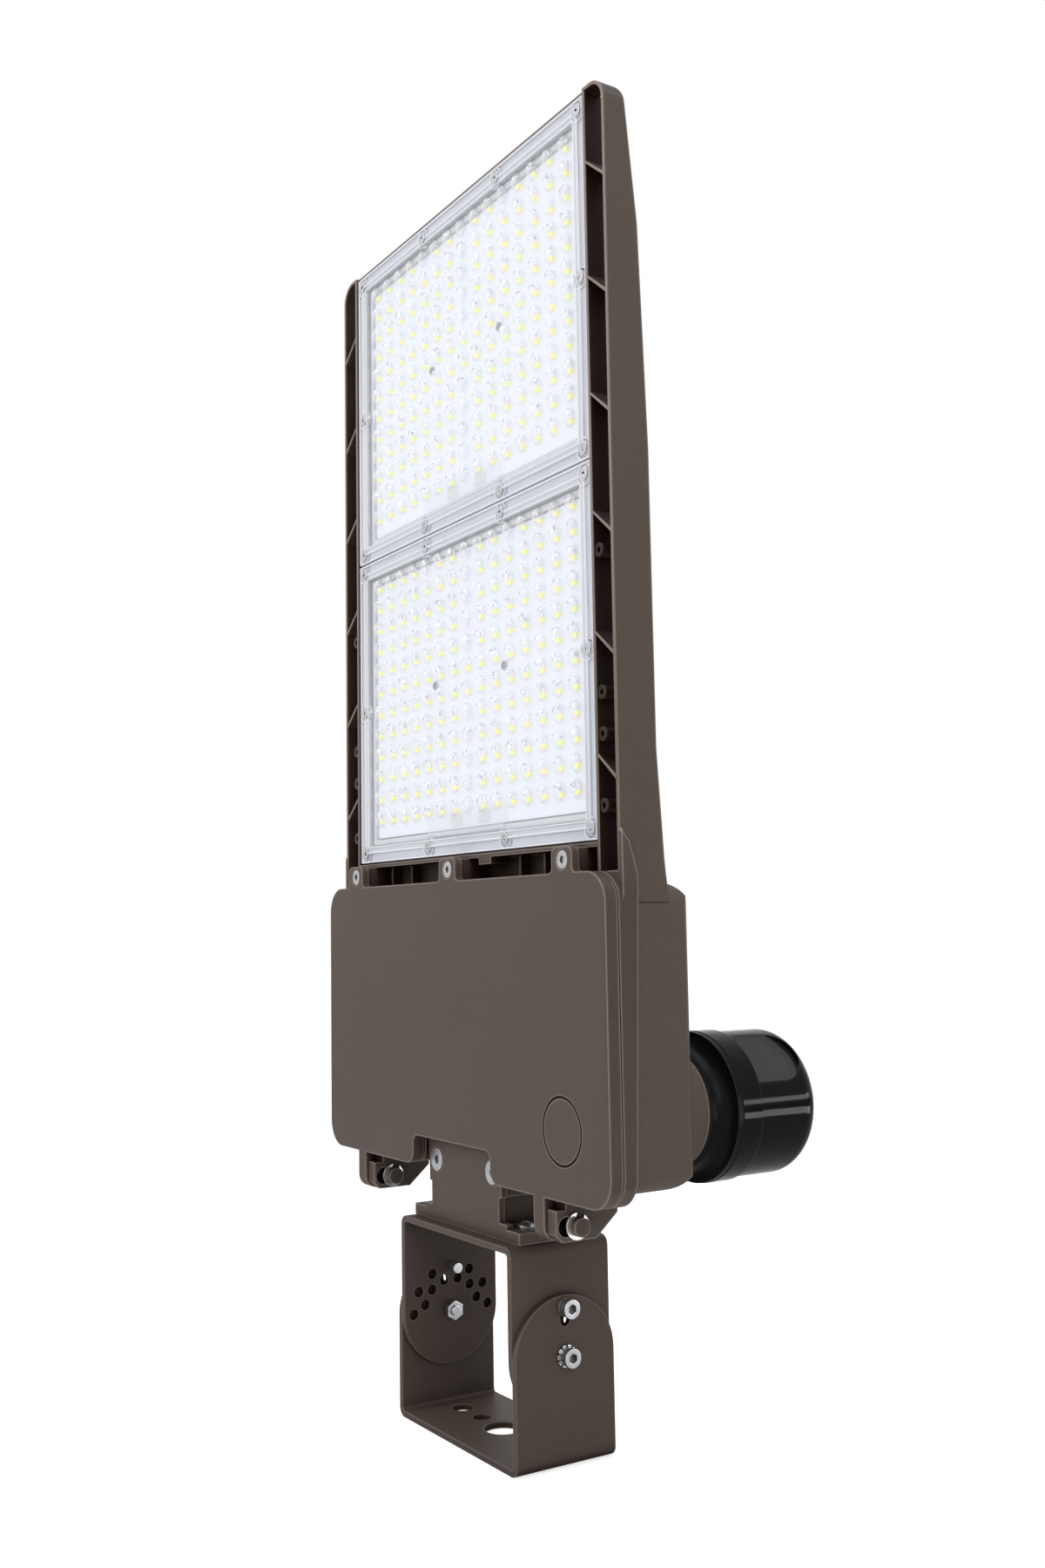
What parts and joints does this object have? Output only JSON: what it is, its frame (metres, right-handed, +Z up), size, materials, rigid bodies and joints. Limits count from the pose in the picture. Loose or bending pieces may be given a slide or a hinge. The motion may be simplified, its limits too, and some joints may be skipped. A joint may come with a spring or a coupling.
{
  "type": "shoebox area light",
  "caption": "Tall flat LED area light with framed clear lenses, hinged driver box cover, twist-lock photocell and a tilting yoke bracket.",
  "frame": {"origin": "bottom centre of the lower bracket's base plate, where it bolts to the pole top or wall", "axes": "+Z up through the tilt pivot to the head's top edge, lenses face -Y, +X to the right as seen from the lens side"},
  "size_m": [0.316, 0.1435, 0.7373],
  "materials": {
    "bronze": "bronze satin powder coat with a fine orange-peel texture over die-cast aluminium",
    "bracket_bronze": "satin powder coat, a little darker",
    "steel": "bright plated steel",
    "lens_clear": "clear moulded lens sheet",
    "board_white": "white solder mask",
    "chip_yellow": "yellow phosphor",
    "seal_black": "moulded rubber",
    "seal_white": "moulded silicone",
    "driver_metal": "bare sheet case",
    "surge_red": "moulded case",
    "block_ivory": "moulded block",
    "receptacle_black": "satin black moulding",
    "cell_black": "glossy black moulding",
    "prong_brass": "bright brass",
    "cell_window": "smoked clear pane",
    "sensor_clear": "clear moulded bulb",
    "cell_board_green": "green solder mask"
  },
  "bodies": {
    "lower_bracket": {"lower_bracket": "bracket_bronze", "tilt_bolts": "steel", "tilt_washers": "steel", "tilt_nuts": "steel", "lock_screws": "steel", "lock_washers": "steel"},
    "head": {"upper_bracket": "bracket_bronze", "lock_studs": "steel", "mounting_arm": "bronze", "arm_screws": "steel", "saddle_screws": "steel", "saddle_nuts": "steel", "housing": "bronze", "lens_upper": "lens_clear", "lens_lower": "lens_clear", "lens_seal_upper": "seal_white", "lens_seal_lower": "seal_white", "lens_screws": "steel", "light_board_upper": "board_white", "light_board_lower": "board_white", "chips_upper": "chip_yellow", "chips_lower": "chip_yellow", "board_connectors": "board_white", "board_screws": "steel", "driver_upper": "driver_metal", "driver_lower": "driver_metal", "driver_screws": "steel", "surge_protector": "surge_red", "terminal_block": "block_ivory", "receptacle": "receptacle_black", "receptacle_seal": "seal_black", "receptacle_screws": "steel"},
    "cover": {"driver_cover": "bronze", "cover_seal": "seal_black", "cover_screws": "steel", "hinge_pins": "bronze", "retaining_rings": "steel"},
    "photocell": {"photocell_base": "cell_black", "photocell_cap": "cell_black", "photocell_prongs": "prong_brass", "photocell_window": "cell_window", "photocell_sensor": "sensor_clear", "photocell_board": "cell_board_green"}
  },
  "joints": [
    {"name": "head_tilt", "type": "hinge", "parent": "lower_bracket", "child": "head", "pos_m": [0, 0, 0.0585], "axis": [1, 0, 0], "range_deg": [-90, 90]},
    {"name": "cover_hinge", "type": "hinge", "parent": "head", "child": "cover", "pos_m": [0, -0.0185, 0.1353], "axis": [1, 0, 0], "range_deg": [0, 95]},
    {"name": "photocell_twist", "type": "hinge", "parent": "head", "child": "photocell", "pos_m": [0.116, 0, 0.1916], "axis": [0, 1, 0], "range_deg": [0, 35]}
  ]
}
